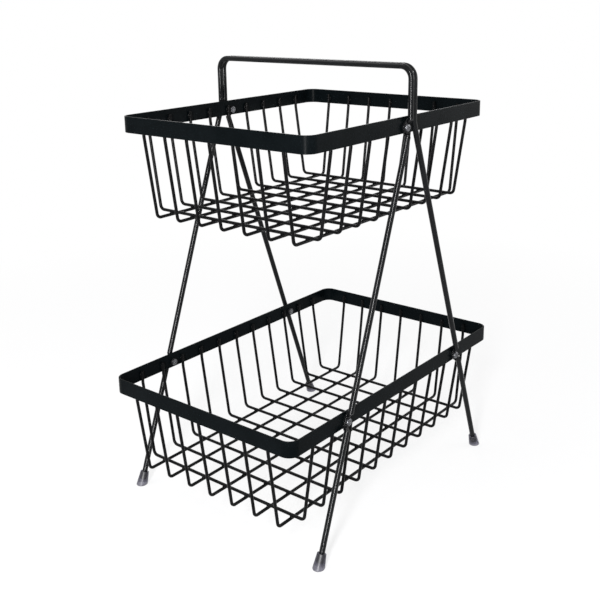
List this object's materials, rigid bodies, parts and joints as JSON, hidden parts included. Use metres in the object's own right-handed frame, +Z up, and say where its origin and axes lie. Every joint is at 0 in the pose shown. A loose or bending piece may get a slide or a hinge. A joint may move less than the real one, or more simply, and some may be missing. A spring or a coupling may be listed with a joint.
{
  "type": "tiered wire basket",
  "caption": "Two-tier open wire basket: tapered wire baskets with flat rims, carried between splayed bent-rod legs that join in a handle bar.",
  "frame": {"origin": "on the ground under the middle of the stand, at the bottom centre of its box", "axes": "+Z up, X along the long sides of the baskets (left to right), Y along the handle bar from front to back"},
  "size_m": [0.384, 0.272, 0.4805],
  "materials": {
    "black_enamel": "glossy black baked enamel on steel wire, rod and strip",
    "black_zinc": "black-plated steel fasteners",
    "smoke_vinyl": "smoke-tinted translucent soft vinyl"
  },
  "bodies": {
    "root": {"foot_cap_back_left": "smoke_vinyl", "foot_cap_back_right": "smoke_vinyl", "foot_cap_front_left": "smoke_vinyl", "foot_cap_front_right": "smoke_vinyl", "handle_bar_left": "black_enamel", "handle_bar_right": "black_enamel", "leg_back_left": "black_enamel", "leg_back_right": "black_enamel", "leg_front_left": "black_enamel", "leg_front_right": "black_enamel", "lower_cross_wire_01": "black_enamel", "lower_cross_wire_02": "black_enamel", "lower_cross_wire_03": "black_enamel", "lower_cross_wire_04": "black_enamel", "lower_cross_wire_05": "black_enamel", "lower_cross_wire_06": "black_enamel", "lower_cross_wire_07": "black_enamel", "lower_cross_wire_08": "black_enamel", "lower_cross_wire_09": "black_enamel", "lower_cross_wire_10": "black_enamel", "lower_cross_wire_11": "black_enamel", "lower_long_wire_01": "black_enamel", "lower_long_wire_02": "black_enamel", "lower_long_wire_03": "black_enamel", "lower_long_wire_04": "black_enamel", "lower_long_wire_05": "black_enamel", "lower_long_wire_06": "black_enamel", "lower_long_wire_07": "black_enamel", "lower_nuts": "black_zinc", "lower_rim": "black_enamel", "lower_screws": "black_zinc", "upper_cross_wire_01": "black_enamel", "upper_cross_wire_02": "black_enamel", "upper_cross_wire_03": "black_enamel", "upper_cross_wire_04": "black_enamel", "upper_cross_wire_05": "black_enamel", "upper_cross_wire_06": "black_enamel", "upper_cross_wire_07": "black_enamel", "upper_cross_wire_08": "black_enamel", "upper_cross_wire_09": "black_enamel", "upper_long_wire_01": "black_enamel", "upper_long_wire_02": "black_enamel", "upper_long_wire_03": "black_enamel", "upper_long_wire_04": "black_enamel", "upper_long_wire_05": "black_enamel", "upper_long_wire_06": "black_enamel", "upper_long_wire_07": "black_enamel", "upper_nuts": "black_zinc", "upper_rim": "black_enamel", "upper_screws": "black_zinc"}
  },
  "joints": []
}
